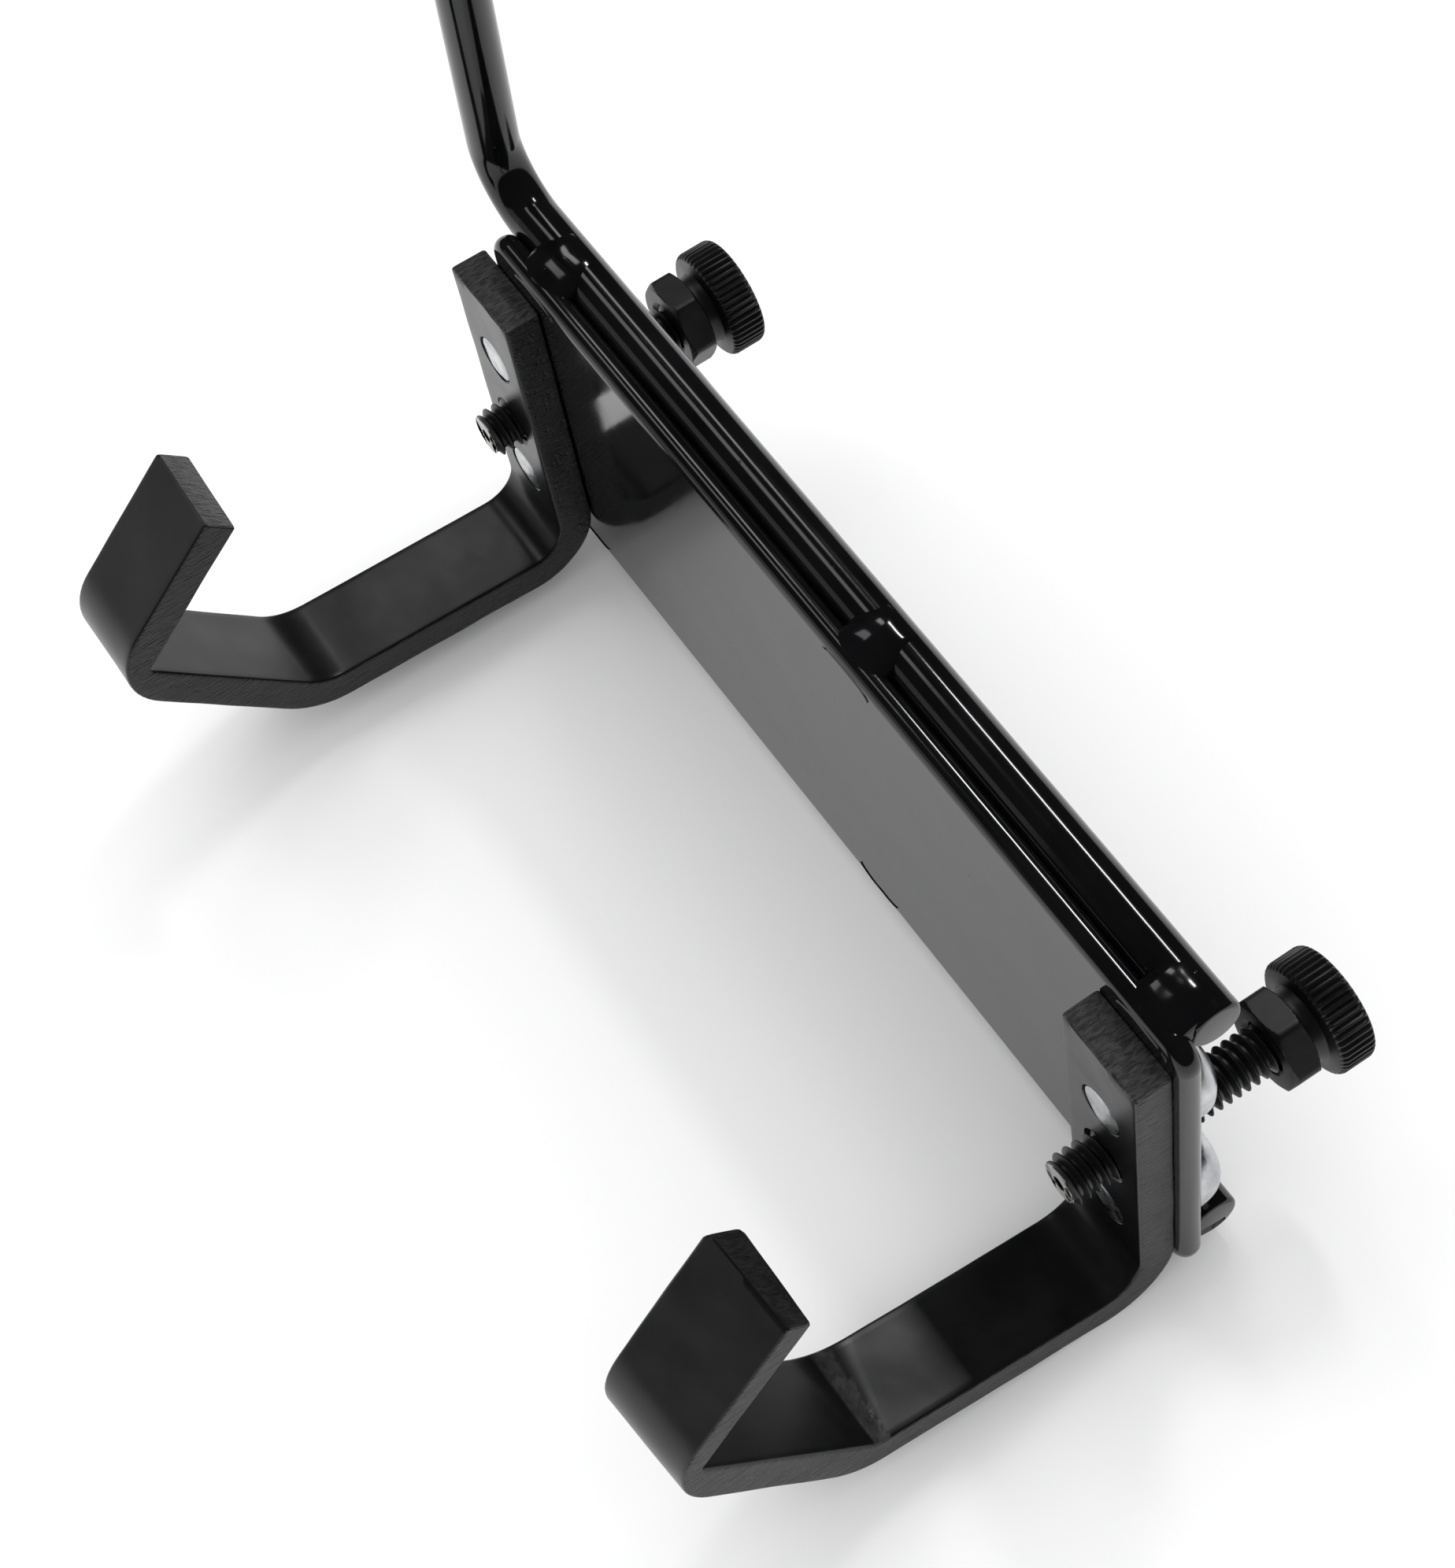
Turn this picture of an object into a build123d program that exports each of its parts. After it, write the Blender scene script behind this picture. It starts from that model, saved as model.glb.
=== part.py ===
from build123d import *
import math
import os

# Clamp-on towing rail bracket: a stiffened plate carries two open hooks that go round a rail,
# each with a thumbscrew that clamps the rail, and a bent rod rises from one end as an arm.
#
# Frame, in millimetres: +X runs along the rail from the left hook to the right hook, -Y points
# out of the plate towards the hooks, +Z is up. The origin is midway between the two hooks, in
# the plane of the hook legs' front faces that the rail seats against, level with the screws.

# Flat bar hooks
bar_width = 12.9
bar_thickness = 4.8
hook_spacing = 125.2
leg_top = 24.5
seat_bend_radius = 5.0
fold_radius = 8.0
tip_radius_inside = 0.6
tip_radius_outside = {"left": 10.0, "right": 11.3}
tip_end_rounding = {"left": 0.4, "right": 0.6}

# Inside outline of each hook as (Y, Z): where the leg turns forward, the fold in the foot,
# the tip bend and the free end. The two hooks are bent by hand, so they differ a little.
hook_bends = {
    "left": {"seat": (0, -21.4), "fold": (-36.3, -19.4), "tip": (-55.8, 2.7), "end": (-39.1, 18.6)},
    "right": {"seat": (0, -24.6), "fold": (-36.2, -19.3), "tip": (-56.2, 6.4), "end": (-40.0, 24.0)},
}
# The bar is squeezed a little thicker in the right hook's stretch between fold and tip bend.
run_thickness = {
    "left": (bar_thickness, bar_thickness, bar_thickness, bar_thickness),
    "right": (bar_thickness, bar_thickness, 5.3, bar_thickness),
}
hook_centre = {"left": -hook_spacing / 2, "right": hook_spacing / 2}

# Plate
plate_thickness = 3.2
plate_length = 137.9
plate_centre_x = 1.65
plate_top = 29.2
plate_bottom = -24.5
plate_corner_radius = 3.5
plate_edge_radius = 1.5

# Rods welded behind the plate's two long edges
rod_diameter = 6.5
rod_end_rounding = 0.5
upper_rod_z = 27.1
lower_rod_z = -23.4
upper_rod_right_end = 68.0
lower_rod_ends = (-66.9, 67.9)
arm_bend_radius = 8.1
arm_corner_x = -74.7
arm_lean_degrees = 5.54
arm_end_z = 100.0

# Welds that bridge the grooves between the plate's edges and the rods
weld_centres_x = {"left": -57.0, "middle": 9.5, "right": 63.6}
weld_lengths = {"left": 8.5, "middle": 8.5, "right": 8.6}
weld_crown = 0.4
weld_depth = 2.2
weld_front_setback = 1.1
weld_shoulder_setback = 0.8
weld_root_setback = 1.2
weld_crown_lead = 1.2
weld_back_lead = 0.1

# Rivets
rivet_radius = 2.4
rivet_flush_radius = 3.0
rivet_flush_depth = 1.2
rivet_head_radius = 6.6
rivet_head_height = {"upper": 4.4, "lower": 5.2}
rivet_head_rounding = 3.1
rivet_heights = {
    "left": {"upper": 12.7, "lower": -10.4},
    "right": {"upper": 11.6, "lower": -12.3},
}

# Clamp screws: a threaded stud, a knurled thumb nut on its rear end and a jam nut locking it
stud_diameter = 6.3
stud_chamfer = 0.6
bore_clearance = 0.05
bore_overrun = 1.0
stud_tip_reach = {"left": 3.9, "right": 5.85}
tip_to_jam_nut = 27.55
jam_nut_thickness = 3.75
jam_nut_across_flats = 11.1
jam_nut_bevel_share = 0.58
jam_nut_turn_degrees = {"left": 54.0, "right": 70.0}
collar_diameter = 9.5
collar_length = 1.75
knob_diameter = 14.6
knob_thickness = 4.8
knob_edge_chamfer = 0.5
knurl_depth = 0.35
knurl_teeth = 50
stud_rear_recess = 0.4
collar_overlap = 0.5
turning_slack = 0.01

plate_front = bar_thickness
plate_back = plate_front + plate_thickness
rod_radius = rod_diameter / 2
rod_y = plate_back + rod_radius
stud_radius = stud_diameter / 2


def rod_along_y(radius, y_start, y_end, x, z):
    """Round solid along Y between two Y positions."""
    start = Plane(origin=(x, y_start, z), z_dir=(0, 1, 0))
    return extrude(start * Circle(radius), y_end - y_start)


def revolved_about_y(outline, x, z):
    """Solid turned about the Y axis through (x, z) from (radius, Y) points."""
    points = [(x + radius, y, z) for radius, y in outline]
    face = make_face(Polyline(*points, close=True))
    return revolve(face, Axis((x, 0, z), (0, 1, 0)))


def offset_points(points, distances):
    """Outer outline of a hook: each inside run moved out by its own distance, then joined."""
    normals = []
    for (y0, z0), (y1, z1) in zip(points, points[1:]):
        length = math.hypot(y1 - y0, z1 - z0)
        normals.append((-(z1 - z0) / length, (y1 - y0) / length))
    moved = []
    for index, (y, z) in enumerate(points):
        first = max(index - 1, 0)
        last = min(index, len(normals) - 1)
        (ay, az), (by, bz) = normals[first], normals[last]
        turn = ay * bz - az * by
        if first == last:
            moved.append((y + ay * distances[first], z + az * distances[first]))
        else:
            shift_y = (distances[first] * bz - distances[last] * az) / turn
            shift_z = (distances[last] * ay - distances[first] * by) / turn
            moved.append((y + shift_y, z + shift_z))
    return moved


def rivet_hole(side, level):
    """Space that one rivet fills in its leg and in the plate."""
    x = hook_centre[side]
    z = rivet_heights[side][level]
    outline = [
        (0, 0),
        (rivet_flush_radius, 0),
        (rivet_radius, rivet_flush_depth),
        (rivet_radius, plate_back),
        (0, plate_back),
    ]
    return revolved_about_y(outline, x, z)


def make_rivet(side, level):
    x = hook_centre[side]
    z = rivet_heights[side][level]
    head_back = plate_back + rivet_head_height[level]
    head = rod_along_y(rivet_head_radius, plate_back, head_back, x, z)
    rim = head.edges().sort_by(Axis.Y)[-1]
    head = fillet(rim, rivet_head_rounding)
    return rivet_hole(side, level) + head


def stud_bore(side):
    bore_end = plate_back + bore_overrun
    return rod_along_y(stud_radius + bore_clearance, -bore_overrun, bore_end,
                       hook_centre[side], 0)


def make_hook(side):
    bends = hook_bends[side]
    inside = [(0, leg_top), bends["seat"], bends["fold"], bends["tip"], bends["end"]]
    outside = offset_points(inside, run_thickness[side])
    x = hook_centre[side] - bar_width / 2
    outline = [(x, y, z) for y, z in inside + outside[::-1]]
    inner_radii = [0, seat_bend_radius, fold_radius, tip_radius_inside, 0]
    outer_radii = [
        tip_end_rounding[side],
        tip_radius_outside[side],
        fold_radius + bar_thickness,
        seat_bend_radius + bar_thickness,
        0,
    ]
    face = make_face(FilletPolyline(*outline, radius=inner_radii + outer_radii, close=True))
    hook = extrude(face, bar_width, dir=(1, 0, 0))
    for level in ("upper", "lower"):
        hook -= rivet_hole(side, level)
    return hook - stud_bore(side)


def make_plate():
    height = plate_top - plate_bottom
    middle = (plate_centre_x, plate_front, (plate_top + plate_bottom) / 2)
    front = Plane(origin=middle, x_dir=(1, 0, 0), z_dir=(0, -1, 0))
    outline = front * RectangleRounded(plate_length, height, plate_corner_radius)
    plate = extrude(outline, -plate_thickness)
    front_edges = plate.faces().sort_by(Axis.Y)[0].edges()
    back_edges = plate.faces().sort_by(Axis.Y)[-1].edges()
    plate = fillet(front_edges + back_edges, plate_edge_radius)
    for side in hook_centre:
        for level in ("upper", "lower"):
            plate -= rivet_hole(side, level)
        plate -= stud_bore(side)
    return plate


def round_rod_end(rod, axis, position):
    return fillet(rod.edges().filter_by(GeomType.CIRCLE).sort_by(axis)[position], rod_end_rounding)


def make_upper_rod():
    """Rod along the plate's top edge that bends upward into the arm."""
    rise = arm_end_z - upper_rod_z
    arm_end_x = arm_corner_x + rise * math.tan(math.radians(arm_lean_degrees))
    start = (upper_rod_right_end, rod_y, upper_rod_z)
    corner = (arm_corner_x, rod_y, upper_rod_z)
    end = (arm_end_x, rod_y, arm_end_z)
    path = FilletPolyline(start, corner, end, radius=arm_bend_radius)
    rod = sweep(Plane(origin=start, z_dir=(-1, 0, 0)) * Circle(rod_radius), path=path)
    rod = round_rod_end(rod, Axis.X, -1)
    return round_rod_end(rod, Axis.Z, -1)


def make_lower_rod():
    """Straight rod along the plate's bottom edge."""
    left, right = lower_rod_ends
    rod = extrude(Plane(origin=(left, rod_y, lower_rod_z), z_dir=(1, 0, 0)) * Circle(rod_radius),
                  right - left)
    rod = round_rod_end(rod, Axis.X, -1)
    return round_rod_end(rod, Axis.X, 0)


def make_weld(position, plate_edge, rod_z, outward, plate, rod):
    """Weld that fills the groove and laps over the plate's edge and the rod's crown."""
    rod_crown = rod_z + outward * rod_radius
    profile = [
        (plate_front + weld_front_setback, plate_edge - outward * weld_depth),
        (plate_front + weld_front_setback, plate_edge + outward * weld_crown / 2),
        (plate_back - weld_shoulder_setback, plate_edge + outward * weld_crown),
        (rod_y - weld_crown_lead, rod_crown + outward * weld_crown),
        (rod_y - weld_back_lead, rod_crown - outward * weld_crown),
        (rod_y - weld_back_lead, rod_z),
        (plate_back - weld_root_setback, plate_edge - outward * weld_depth),
    ]
    start = weld_centres_x[position] - weld_lengths[position] / 2
    face = make_face(Polyline(*[(start, y, z) for y, z in profile], close=True))
    bead = extrude(face, weld_lengths[position], dir=(1, 0, 0)) - plate - rod
    return bead.solids().sort_by(SortBy.VOLUME)[-1]


def make_stud(side):
    tip_y = -stud_tip_reach[side]
    rear_y = tip_y + tip_to_jam_nut + jam_nut_thickness + collar_length + knob_thickness
    rear_y -= stud_rear_recess
    inner = stud_radius - stud_chamfer
    outline = [
        (0, tip_y),
        (inner, tip_y),
        (stud_radius, tip_y + stud_chamfer),
        (stud_radius, rear_y - stud_chamfer),
        (inner, rear_y),
        (0, rear_y),
    ]
    return revolved_about_y(outline, hook_centre[side], 0)


def jam_nut_front(side):
    return -stud_tip_reach[side] + tip_to_jam_nut


def make_jam_nut(side):
    x = hook_centre[side]
    y = jam_nut_front(side)
    apothem = jam_nut_across_flats / 2
    corner = apothem / math.cos(math.radians(30))
    front = Plane(origin=(x, y, 0), x_dir=(1, 0, 0), z_dir=(0, -1, 0))
    hexagon = front * Rot(0, 0, jam_nut_turn_degrees[side]) * RegularPolygon(corner, 6)
    nut = extrude(hexagon, -jam_nut_thickness)
    bevel = (corner - apothem) * jam_nut_bevel_share
    turned = [
        (0, y),
        (apothem, y),
        (corner, y + bevel),
        (corner, y + jam_nut_thickness - bevel),
        (apothem, y + jam_nut_thickness),
        (0, y + jam_nut_thickness),
    ]
    nut = nut & revolved_about_y(turned, x, 0)
    bore_end = y + jam_nut_thickness + bore_overrun
    return nut - rod_along_y(stud_radius + bore_clearance, y - bore_overrun, bore_end, x, 0)


def make_thumb_nut(side):
    """Knurled thumb nut: a toothed disc with a plain collar in front."""
    x = hook_centre[side]
    collar_front = jam_nut_front(side) + jam_nut_thickness
    disc_front = collar_front + collar_length
    disc_back = disc_front + knob_thickness
    radius = knob_diameter / 2
    teeth = []
    for index in range(2 * knurl_teeth):
        angle = math.pi * index / knurl_teeth
        reach = radius - knurl_depth * (index % 2)
        teeth.append((x + reach * math.cos(angle), disc_front, reach * math.sin(angle)))
    disc = extrude(make_face(Polyline(*teeth, close=True)), knob_thickness, dir=(0, 1, 0))
    turned = [
        (0, disc_front),
        (radius - knob_edge_chamfer, disc_front),
        (radius + turning_slack, disc_front + knob_edge_chamfer),
        (radius + turning_slack, disc_back - knob_edge_chamfer),
        (radius - knob_edge_chamfer, disc_back),
        (0, disc_back),
    ]
    disc = disc & revolved_about_y(turned, x, 0)
    collar_back = disc_front + collar_overlap
    nut = disc + rod_along_y(collar_diameter / 2, collar_front, collar_back, x, 0)
    bore_start = collar_front - bore_overrun
    bore_end = disc_back + bore_overrun
    return nut - rod_along_y(stud_radius + bore_clearance, bore_start, bore_end, x, 0)


parts = {
    "mounting_plate": make_plate(),
    "upper_rod": make_upper_rod(),
    "lower_rod": make_lower_rod(),
}
for weld_position in weld_centres_x:
    parts["upper_weld_" + weld_position] = make_weld(
        weld_position, plate_top, upper_rod_z, 1, parts["mounting_plate"], parts["upper_rod"])
    parts["lower_weld_" + weld_position] = make_weld(
        weld_position, plate_bottom, lower_rod_z, -1, parts["mounting_plate"], parts["lower_rod"])
for hook_side in hook_centre:
    parts[hook_side + "_hook"] = make_hook(hook_side)
    parts[hook_side + "_upper_rivet"] = make_rivet(hook_side, "upper")
    parts[hook_side + "_lower_rivet"] = make_rivet(hook_side, "lower")
    parts[hook_side + "_clamp_stud"] = make_stud(hook_side)
    parts[hook_side + "_jam_nut"] = make_jam_nut(hook_side)
    parts[hook_side + "_thumb_nut"] = make_thumb_nut(hook_side)

os.makedirs("parts", exist_ok=True)
for node_name, solid in parts.items():
    export_step(solid, "parts/" + node_name + ".step")
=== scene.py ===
import math
import bmesh
import bpy
from mathutils import Matrix, Vector, noise


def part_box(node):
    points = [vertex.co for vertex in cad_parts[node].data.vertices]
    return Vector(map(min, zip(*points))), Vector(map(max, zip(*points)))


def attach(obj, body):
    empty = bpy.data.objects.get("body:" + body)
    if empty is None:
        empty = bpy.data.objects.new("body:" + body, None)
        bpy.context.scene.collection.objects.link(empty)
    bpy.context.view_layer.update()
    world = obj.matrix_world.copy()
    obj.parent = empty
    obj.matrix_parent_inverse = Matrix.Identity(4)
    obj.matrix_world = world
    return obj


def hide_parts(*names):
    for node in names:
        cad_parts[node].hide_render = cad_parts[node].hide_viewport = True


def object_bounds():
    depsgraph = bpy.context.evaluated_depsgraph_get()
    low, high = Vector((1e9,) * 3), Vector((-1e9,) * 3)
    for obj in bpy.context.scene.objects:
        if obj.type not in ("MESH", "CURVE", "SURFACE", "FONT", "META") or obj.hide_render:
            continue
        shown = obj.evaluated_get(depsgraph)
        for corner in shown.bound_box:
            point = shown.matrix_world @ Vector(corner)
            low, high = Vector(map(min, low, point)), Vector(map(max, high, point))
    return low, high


# Clamp-on rail bracket: a black stiffened plate with two flat bar hooks, thumbscrews and an arm.
# Everything is in metres, in the CAD frame: +X along the rail, -Y towards the hooks, +Z up.

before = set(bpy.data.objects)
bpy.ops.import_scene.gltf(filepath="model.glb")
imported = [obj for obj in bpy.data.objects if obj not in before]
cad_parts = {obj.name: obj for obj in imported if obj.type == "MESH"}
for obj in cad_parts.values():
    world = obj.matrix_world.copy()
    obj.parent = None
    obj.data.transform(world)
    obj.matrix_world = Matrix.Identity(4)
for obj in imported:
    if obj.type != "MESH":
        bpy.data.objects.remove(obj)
cad_low, cad_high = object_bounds()
MM = 0.001

SIDES = ("left", "right")
LEVELS = ("upper", "lower")
WELD_POSITIONS = ("left", "middle", "right")
# How far apart the noise of one seed lies from that of the next
SEED_SHIFT = (7.3, 3.1, 5.7)

# Hooks: the inside outline of each flat bar as (Y, Z), for its far (-X) and near (+X) side face.
# The bars are bent by hand, so the two hooks, and the two side faces of one hook, differ a little.
LEG_TOP = 24.5 * MM
BAR_THICKNESS = 4.8 * MM
BAR_EDGE_RADIUS = 0.38 * MM
HOOK_OUTLINES = {
    "left": {
        "far": {
            "bends": [(0, -21.4), (-36.3, -19.4), (-55.8, 2.7), (-38.7, 18.9)],
            "inner_radii": [4.6, 9.0, 0.8],
            "outer_radii": [9.4, 14.0, 9.6],
            "thickness": [4.8, 4.8, 4.8, 4.8],
        },
        "near": {
            "bends": [(0, -21.4), (-36.3, -19.4), (-55.8, 2.7), (-39.1, 18.6)],
            "inner_radii": [4.6, 8.0, 0.6],
            "outer_radii": [9.4, 13.5, 9.6],
            "thickness": [4.8, 4.8, 4.8, 4.8],
        },
    },
    "right": {
        "far": {
            "bends": [(0, -24.3), (-36.2, -19.1), (-56.5, 6.9), (-40.1, 24.8)],
            "inner_radii": [5.0, 13.0, 0.8],
            "outer_radii": [9.5, 15.0, 10.8],
            "thickness": [4.8, 4.8, 5.1, 4.8],
        },
        "near": {
            "bends": [(0, -24.6), (-36.2, -19.2), (-55.9, 6.1), (-40.0, 23.7)],
            "inner_radii": [5.0, 5.0, 0.6],
            "outer_radii": [9.5, 12.0, 10.8],
            "thickness": [4.9, 4.9, 5.4, 3.45],
        },
    },
}
STRAIGHT_STATIONS = 22
ARC_STATIONS = 14
SECTION_ACROSS_STEPS = 18
SECTION_THROUGH_STEPS = 8
SECTION_ARC_STEPS = 4
# How far the free end's far corner is rounded off, seen square to the bar's face
TIP_CORNER_RADIUS = {"left": 0.5 * MM, "right": 1.3 * MM}
# Sheared ends have edges that are only just broken: (drawn in, stands back from the end's face)
END_ROUNDING = [(0.30 * MM, 0.0), (0.12 * MM, 0.06 * MM), (0.0, 0.22 * MM)]
# Torn teeth along the front edge of the leg's top, one depth for each of its first rings
TOOTH_DEPTHS = (0.20 * MM, 0.44 * MM, 0.60 * MM, 0.24 * MM)
TOOTH_REACH = 1.2 * MM
TOOTH_WIDTH = 0.35 * MM
BAR_WAVE_SIZE = 7 * MM
BAR_WAVE_DEPTH = 0.09 * MM
# How squarely a face looks along an axis to count as ground, as sheared top, as tip or fold
GROUND_FACING = 0.85
TOP_FACING = 0.7
SLOPED_FACING = 0.5
# Where the paint is rough over the right hook's fold, and lightened there as a painted highlight
FOLD_Y = -35.3 * MM
FOLD_REACH = 1.0 * MM
# The right hook's tip end is tinted lighter less than the left's
RIGHT_TIP_LIGHTENING = 0.25
TIP_FLOOR = 15 * MM
SHEARED_TOP_DROP = 0.5 * MM
SHEARED_TOP_REACH = 1.0 * MM

# Rivets
FLUSH_RADIUS = 3.0 * MM
FLUSH_GAP = 0.22 * MM
SHANK_RADIUS = 2.4 * MM
# Flush front end: (share of the flush radius, depth behind the rivet's front)
FLUSH_END = [(0.55, 0.02 * MM), (0.9, 0.02 * MM), (1.0, 0.14 * MM), (1.0, 0.5 * MM)]
COUNTERSINK_DEPTH = 1.2 * MM
# Underside of the head: (in from the head's radius, behind the plate)
HEAD_UNDERSIDE = [(0.9 * MM, 0.0), (0.25 * MM, 0.12 * MM)]
HEAD_BAND = 0.5 * MM
HEAD_SQUARENESS = 2.75
HEAD_ARC_STEPS = 14
HAMMER_SIZE = 3.2 * MM
HAMMER_DEPTH = 0.16 * MM
RIVET_STEPS = 72
# Rivet seat in the hook's leg: (beyond the seat's rim, depth behind the leg's front)
SEAT_MOUTH = [(0.25 * MM, -0.5 * MM), (0.12 * MM, -0.02 * MM), (0.0, 0.15 * MM), (0.0, 0.7 * MM)]
SEAT_DEPTH = 1.3 * MM
CUT_THROUGH = 1.5 * BAR_THICKNESS

# Thread, nuts and knobs
PITCH = 1.27 * MM
THREAD_DEPTH = 0.613 * PITCH
CREST_END, ROOT_START, ROOT_END = 0.125, 0.4375, 0.6875
THREAD_ROWS = (0.0, 0.0625, 0.125, 0.28, 0.4375, 0.5625, 0.6875, 0.845)
CREST_ROUNDING = 0.03 * MM
THREAD_STEPS = 48
THREAD_OVERRUN = 1.5
STUD_CHAMFER = 0.6 * MM
# Recess in both ends of a stud: (drawn in from the ring before, moved along the axis)
STUD_RECESS = ((0.2 * MM, 0.0), (1.35 * MM, 0.0), (0.35 * MM, -0.3 * MM))
WORN_TIP = 0.95
TIP_SLACK = 0.02 * MM
BORE_RADIUS = 3.15 * MM
BORE_GAP = 0.05 * MM
# Mouth of the screw's bore in the leg: (beyond the bore, depth behind the leg's front)
BORE_MOUTH = [(0.4 * MM, -0.5 * MM), (0.35 * MM, 0.0), (0.0, 0.35 * MM)]
HOLE_STEPS = 48
JAM_NUT_ACROSS_FLATS = 11.1 * MM
JAM_NUT_TURN = {"left": math.radians(66), "right": math.radians(70)}
HEX_HALF_SECTOR = math.radians(30)
NUT_BEVEL_SHARE = 0.58
NUT_BEVEL_STEPS = 4
NUT_BEVEL_INSET = 0.05 * MM
NUT_BEVEL_LIFT = 0.03 * MM
NUT_FACE_INSET = 0.25 * MM
NUT_FLAT_SETBACK = 0.4 * MM
NUT_CORNER_SOFTENING = 0.12 * MM
NUT_CORNER_TIGHTNESS = 24
NUT_BORE_CHAMFER = 0.5 * MM
NUT_STEPS = 144
COLLAR_RADIUS = 4.75 * MM
COLLAR_LENGTH = 1.75 * MM
COLLAR_CHAMFER = 0.25 * MM
# Fillet between collar and disc: (beyond the collar, in front of the disc)
COLLAR_FILLET = [(0.0, 0.35 * MM), (0.12 * MM, 0.12 * MM), (0.4 * MM, 0.0)]
COLLAR_BORE_CHAMFER = 0.4 * MM
# Rounded edge of the disc: (in from its radius, depth behind its face)
KNOB_EDGE = [(0.95 * MM, 0.0), (0.55 * MM, 0.04 * MM), (0.25 * MM, 0.22 * MM),
             (0.08 * MM, 0.5 * MM), (0.0, 0.75 * MM)]
KNOB_BORE_CHAMFER = 0.5 * MM
KNURL_TEETH = 50
KNURL_STEPS_PER_TOOTH = 8
KNURL_DEPTH = 0.42 * MM
KNURL_SHARPNESS = 1.6
# The knurl starts this far in from the disc's radius and is at full depth after the run-in
KNURL_START = 0.525 * MM
KNURL_RUN_IN = 0.5 * MM

# Rods and arm
ROD_STEPS = 56
ROD_BEND_STEPS = 28
ROD_STATION_GAP = 6 * MM
ROD_END_ROUNDING = 0.55 * MM
ROD_END_STEPS = 6
ARM_CORNER_X = -74.7 * MM
ARM_LEAN = math.radians(5.54)
ARM_BEND_RADIUS = 8.1 * MM

# Weld section, as steps (towards the back, outward). The outer skin's controls, the first two
# from the plate's front edge and the others from the rod's crown line
WELD_FRONT = (-0.12 * MM, -1.7 * MM)
WELD_CREST = (1.1 * MM, 0.35 * MM)
WELD_CROWN = (-0.2 * MM, 0.45 * MM)
WELD_BEHIND = (1.6 * MM, -0.5 * MM)
# and the hidden side's points, from the rod's crown line and the plate's back and front edges
WELD_IN_ROD = (0.6 * MM, -1.6 * MM)
WELD_IN_PLATE_BACK = (-0.6 * MM, -2.4 * MM)
WELD_IN_PLATE_FRONT = (1.2 * MM, -2.4 * MM)
WELD_ALONG_STEPS = 40
WELD_ACROSS_STEPS = 26
# Lift of the outer skin: sunk at the weld's ends, full and domed along the middle, rippled
WELD_END_SINK = 0.9 * MM
WELD_SWELL = 1.15 * MM
WELD_FULLNESS = 3.4
WELD_DOME = 0.45 * MM
WELD_DOME_LEAN = 0.8
WELD_RIPPLE = 0.16 * MM
WELD_RIPPLES_ALONG = 1.6
WELD_RIPPLES_ACROSS = 1.8
WELD_SEED_SHIFT = 9
# How much the toes of a weld wander, as a share of half its length, and how often
WELD_TOE_WAVE = 0.06
WELD_TOE_TURNS = 3
WELD_HIDDEN_LENGTH = 0.97

# Materials: the share of a dot that is at full strength, and where colours start and stop mixing
DOT_CORE = 0.6
MIX_START, MIX_END = 0.3, 0.7

# Studio
FLOOR_SIZE = 40.0
FLOOR_GAP = 0.2 * MM
SURROUND_STRENGTH = 1.0
REFLECTED_STRENGTH = 0.03
# Panels: direction and distance from the target, width and height, power in watts, target
PANELS = {
    "sky_panel": ((-0.62, 0.30, 0.72), 1.5, 2.4, 2.4, 9, (0, 0, 0)),
    "soft_panel": ((-0.59, 0.25, 0.77), 0.8, 0.22, 0.10, 0.32, (-0.03, 0.011, 0.03)),
    "lamp": ((-0.407, 0.466, 0.785), 0.8, 0.14, 0.05, 0.9, (0.0425, 0.011, 0.03)),
    "front_panel": ((-0.50, -0.20, 0.84), 0.8, 0.24, 0.16, 0.30, (-0.06, 0, 0)),
    "side_panel": ((-0.48, -0.84, 0.22), 0.4, 0.2, 0.2, 0.06, (-0.06, -0.05, 0.015)),
}
# Panels that light the part but are not seen in its gloss
UNSEEN_PANELS = ("sky_panel",)
CAMERA_PLACE = (0.18969, -0.08396, 0.34421)
CAMERA_RIGHT = Vector((0.54410, 0.83079, -0.11722))
CAMERA_UP = Vector((-0.69044, 0.52274, 0.50004))
CAMERA_BACK = Vector((0.47670, -0.19114, 0.85804))
CAMERA_LENS = 84.4
CAMERA_SENSOR_WIDTH = 36


# ---------------------------------------------------------------- meshes

def unit(vector):
    return vector.normalized()


def finish_piece(bm, name, material, body, nodes, sharp_degrees=32):
    """Turns a bmesh into a shaded piece that rides on a body and stands for its CAD nodes."""
    bmesh.ops.recalc_face_normals(bm, faces=bm.faces)
    mesh = bpy.data.meshes.new(name)
    bm.to_mesh(mesh)
    bm.free()
    mesh.shade_smooth()
    mesh.set_sharp_from_angle(angle=math.radians(sharp_degrees))
    mesh.materials.append(material)
    piece = bpy.data.objects.new(name, mesh)
    bpy.context.scene.collection.objects.link(piece)
    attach(piece, body)
    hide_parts(*nodes)
    return piece


def add_grid(bm, rings, loop=False):
    """Joins rings of points into a closed skin: a loop joins its ends, others get caps."""
    rows = [[bm.verts.new(point) for point in ring] for ring in rings]
    steps = len(rows[0])
    last = len(rows) if loop else len(rows) - 1
    for row in range(last):
        here = rows[row]
        there = rows[(row + 1) % len(rows)]
        for step in range(steps):
            turn = (step + 1) % steps
            bm.faces.new((here[step], here[turn], there[turn], there[step]))
    if not loop:
        bm.faces.new(rows[0][::-1])
        bm.faces.new(rows[-1])
    return rows


def turned(bm, centre_x, centre_z, rows, steps, shape=None, start=0.0, loop=False):
    """Skin turned about an axis along Y from (radius, y) rows; shape may change each radius."""
    rings = []
    for radius, y in rows:
        ring = []
        for step in range(steps):
            angle = start + 2 * math.pi * step / steps
            reach = shape(radius, angle) if shape else radius
            ring.append((centre_x + reach * math.cos(angle), y, centre_z + reach * math.sin(angle)))
        rings.append(ring)
    add_grid(bm, rings, loop)


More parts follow.
